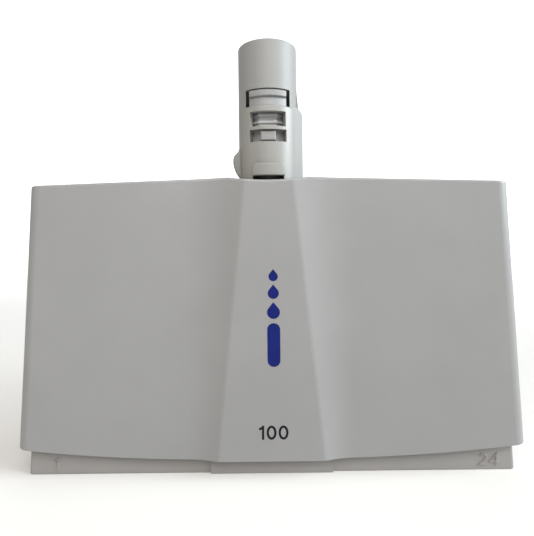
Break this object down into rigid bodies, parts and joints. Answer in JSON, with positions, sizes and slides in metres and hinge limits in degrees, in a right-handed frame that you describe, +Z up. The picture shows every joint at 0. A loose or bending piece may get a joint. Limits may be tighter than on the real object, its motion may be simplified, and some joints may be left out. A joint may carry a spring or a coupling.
{
  "type": "multichannel pipette lower part",
  "caption": "Slim multichannel pipette lower part: flat tapered cover with raised centre wedge, round latch neck, piston row, tip cones and sliding tip ejector.",
  "frame": {"origin": "middle of the assembly's underside: the neck's axis at the underside of the hanging ejector strip", "axes": "+X along the row of channels, +Y to the back, +Z up along the neck"},
  "size_m": [0.1216, 0.0192, 0.1039],
  "materials": {
    "cover_plastic": "fine matt moulded light grey",
    "ejector_plastic": "fine matt moulded light grey",
    "collar_plastic": "satin moulded warm light grey",
    "cone_plastic": "smooth grey",
    "piston_plastic": "smooth white",
    "inner_plastic": "matt grey engineering plastic",
    "clamp_metal": "satin",
    "seal_rubber": "matt",
    "steel": "fine brushed"
  },
  "bodies": {
    "housing": {"front_cover": "cover_plastic", "rear_cover": "cover_plastic", "cover_screws": "steel", "cylinder_block": "inner_plastic", "piston_seals": "seal_rubber", "seal_retainer": "clamp_metal", "retainer_screws": "steel", "cone_gasket": "seal_rubber", "cone_plate": "clamp_metal", "cone_plate_screws": "steel", "neck_shaft": "inner_plastic", "shaft_flange": "clamp_metal", "left_guide_rod": "steel", "right_guide_rod": "steel", "tip_cone_01": "cone_plastic", "tip_cone_02": "cone_plastic", "tip_cone_03": "cone_plastic", "tip_cone_04": "cone_plastic", "tip_cone_05": "cone_plastic", "tip_cone_06": "cone_plastic", "tip_cone_07": "cone_plastic", "tip_cone_08": "cone_plastic", "tip_cone_09": "cone_plastic", "tip_cone_10": "cone_plastic", "tip_cone_11": "cone_plastic", "tip_cone_12": "cone_plastic", "tip_cone_13": "cone_plastic", "tip_cone_14": "cone_plastic", "tip_cone_15": "cone_plastic", "tip_cone_16": "cone_plastic", "tip_cone_17": "cone_plastic", "tip_cone_18": "cone_plastic", "tip_cone_19": "cone_plastic", "tip_cone_20": "cone_plastic", "tip_cone_21": "cone_plastic", "tip_cone_22": "cone_plastic", "tip_cone_23": "cone_plastic", "tip_cone_24": "cone_plastic"},
    "plunger": {"pistons": "piston_plastic", "piston_carrier": "inner_plastic", "carrier_cap": "inner_plastic", "carrier_screws": "steel", "guide_bushes": "inner_plastic", "piston_rod": "steel", "rod_head": "steel", "circlip": "steel", "left_spring": "steel", "right_spring": "steel"},
    "ejector": {"neck_tube": "ejector_plastic", "window_collar": "collar_plastic", "collar_clip": "collar_plastic", "latch_ring": "collar_plastic", "side_rail": "ejector_plastic", "ejector_plate": "ejector_plastic", "plate_screws": "steel", "ejector_strip": "ejector_plastic"},
    "latch": {"latch_tongue": "collar_plastic"}
  },
  "joints": [
    {"name": "piston_stroke", "type": "slide", "parent": "housing", "child": "plunger", "axis": [0, 0, -1], "range_m": [0, 0.0188], "stiffness_N_per_m": 150, "springref_m": -0.01, "deforming": ["left_spring", "right_spring"]},
    {"name": "ejector_travel", "type": "slide", "parent": "housing", "child": "ejector", "axis": [0, 0, 1], "range_m": [0, 0.0045]},
    {"name": "latch_flex", "type": "hinge", "parent": "ejector", "child": "latch", "pos_m": [0, -0.0054, 0.0873], "axis": [-1, 0, 0], "range_deg": [0, 5], "stiffness_Nm_per_rad": 0.02}
  ]
}
